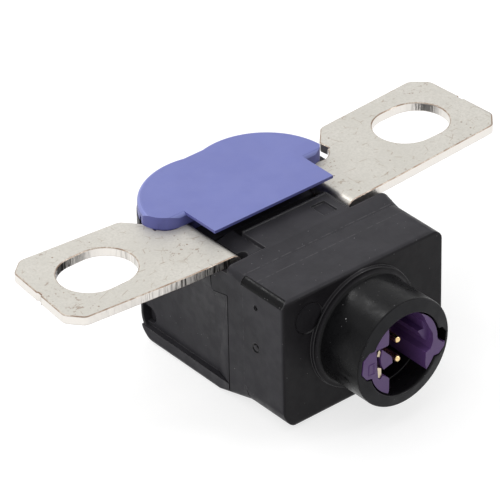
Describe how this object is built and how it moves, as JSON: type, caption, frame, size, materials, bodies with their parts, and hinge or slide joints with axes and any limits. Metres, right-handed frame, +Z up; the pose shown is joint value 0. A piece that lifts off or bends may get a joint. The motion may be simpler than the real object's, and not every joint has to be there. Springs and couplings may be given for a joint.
{
  "type": "battery fuse box",
  "caption": "Pyrotechnic battery disconnect fuse: a slotted busbar through a small two-part housing with a round trigger connector.",
  "frame": {"origin": "midway between the two terminal slots, on the underside of the tabs", "axes": "+X along the busbar, +Y from the connector towards the back, +Z up through the tabs"},
  "size_m": [0.0706, 0.04, 0.0219],
  "materials": {
    "tinned_copper": "satin",
    "cover_plastic": "satin",
    "black_plastic": "satin",
    "retainer_plastic": "satin",
    "contact_gold": "polished",
    "clip_spring": "satin",
    "initiator_steel": "satin",
    "seal_glass": "gloss",
    "charge_grey": "matte",
    "seal_rubber": "matte",
    "piston_plastic": "satin"
  },
  "bodies": {
    "fuse_body": {"busbar": "tinned_copper", "top_cover": "cover_plastic", "front_housing": "black_plastic", "rear_housing": "black_plastic", "die_block": "black_plastic", "catch_block": "black_plastic", "connector_retainer": "retainer_plastic", "shorting_clip": "clip_spring", "initiator_holder": "black_plastic", "initiator_header": "initiator_steel", "glass_seal": "seal_glass", "upper_pin": "contact_gold", "lower_pin": "contact_gold", "initiator_cup": "initiator_steel", "initiator_charge": "charge_grey", "initiator_o_ring": "seal_rubber", "pressure_sleeve": "initiator_steel"},
    "piston": {"cutter_piston": "piston_plastic", "piston_o_ring": "seal_rubber"}
  },
  "joints": [
    {"name": "piston_slide", "type": "slide", "parent": "fuse_body", "child": "piston", "axis": [0, 1, 0], "range_m": [0, 0.0011]}
  ]
}
